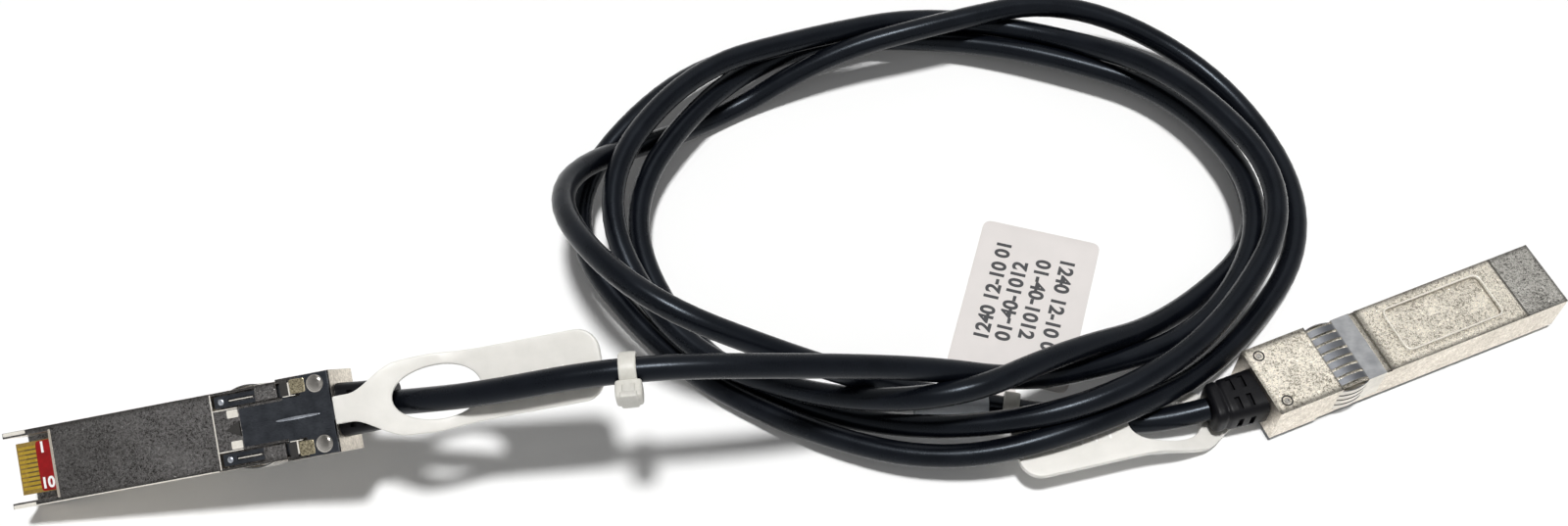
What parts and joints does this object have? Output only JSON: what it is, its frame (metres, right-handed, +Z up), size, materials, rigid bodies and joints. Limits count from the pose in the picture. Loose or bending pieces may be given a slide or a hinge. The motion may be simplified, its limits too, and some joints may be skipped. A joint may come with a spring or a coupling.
{
  "type": "direct attach copper cable",
  "caption": "Loosely coiled black twinax cord with a die-cast pluggable plug at each end, each with a sliding latch plate and a white pull tab threaded by the cord",
  "frame": {"origin": "centre of the footprint of the two plugs, on the floor the cable lies on", "axes": "X to the right from the left plug to the right plug, Y away from the front, Z up"},
  "size_m": [0.2852, 0.1173, 0.0384],
  "materials": {
    "plated_zinc": "nickel-plated die-cast zinc, fine satin grain",
    "stainless": "spring steel sheet, smooth",
    "latch_steel": "stainless sheet, smooth satin",
    "board_laminate": "solder mask over glass laminate",
    "gold_plate": "gold-plated contact strips",
    "nylon": "natural nylon, slightly translucent",
    "jacket": "satin black cable jacket",
    "boot_rubber": "moulded black strain relief",
    "wire_insulation": "foil-wrapped insulation",
    "crimp_copper": "crimped copper alloy",
    "tag_plastic": "matt white sheet",
    "label_film": "clear film over a white band"
  },
  "bodies": {
    "cable": {"left_base_shell": "plated_zinc", "left_top_cover": "plated_zinc", "left_circuit_board": "board_laminate", "left_contact_pads": "gold_plate", "left_emi_collar": "stainless", "left_boot": "boot_rubber", "left_wire_pairs": "wire_insulation", "left_ferrule": "crimp_copper", "right_base_shell": "plated_zinc", "right_top_cover": "plated_zinc", "right_circuit_board": "board_laminate", "right_contact_pads": "gold_plate", "right_emi_collar": "stainless", "right_boot": "boot_rubber", "right_wire_pairs": "wire_insulation", "right_ferrule": "crimp_copper", "cable_left_lead": "jacket", "cable_coil": "jacket", "cable_right_lead": "jacket", "cable_tie": "nylon", "tag_tie": "nylon", "marker_tag": "tag_plastic", "product_label": "label_film"},
    "left_latch": {"left_latch_plate": "latch_steel", "left_latch_rivets": "latch_steel", "left_pull_tab": "nylon"},
    "right_latch": {"right_latch_plate": "latch_steel", "right_latch_rivets": "latch_steel", "right_pull_tab": "nylon"}
  },
  "joints": [
    {"name": "left_latch_slide", "type": "slide", "parent": "cable", "child": "left_latch", "axis": [0.9675, 0.0677, 0.2436], "range_m": [0, 0.002], "stiffness_N_per_m": 800},
    {"name": "right_latch_slide", "type": "slide", "parent": "cable", "child": "right_latch", "axis": [-0.9225, -0.3859, 0], "range_m": [0, 0.002], "stiffness_N_per_m": 800}
  ]
}
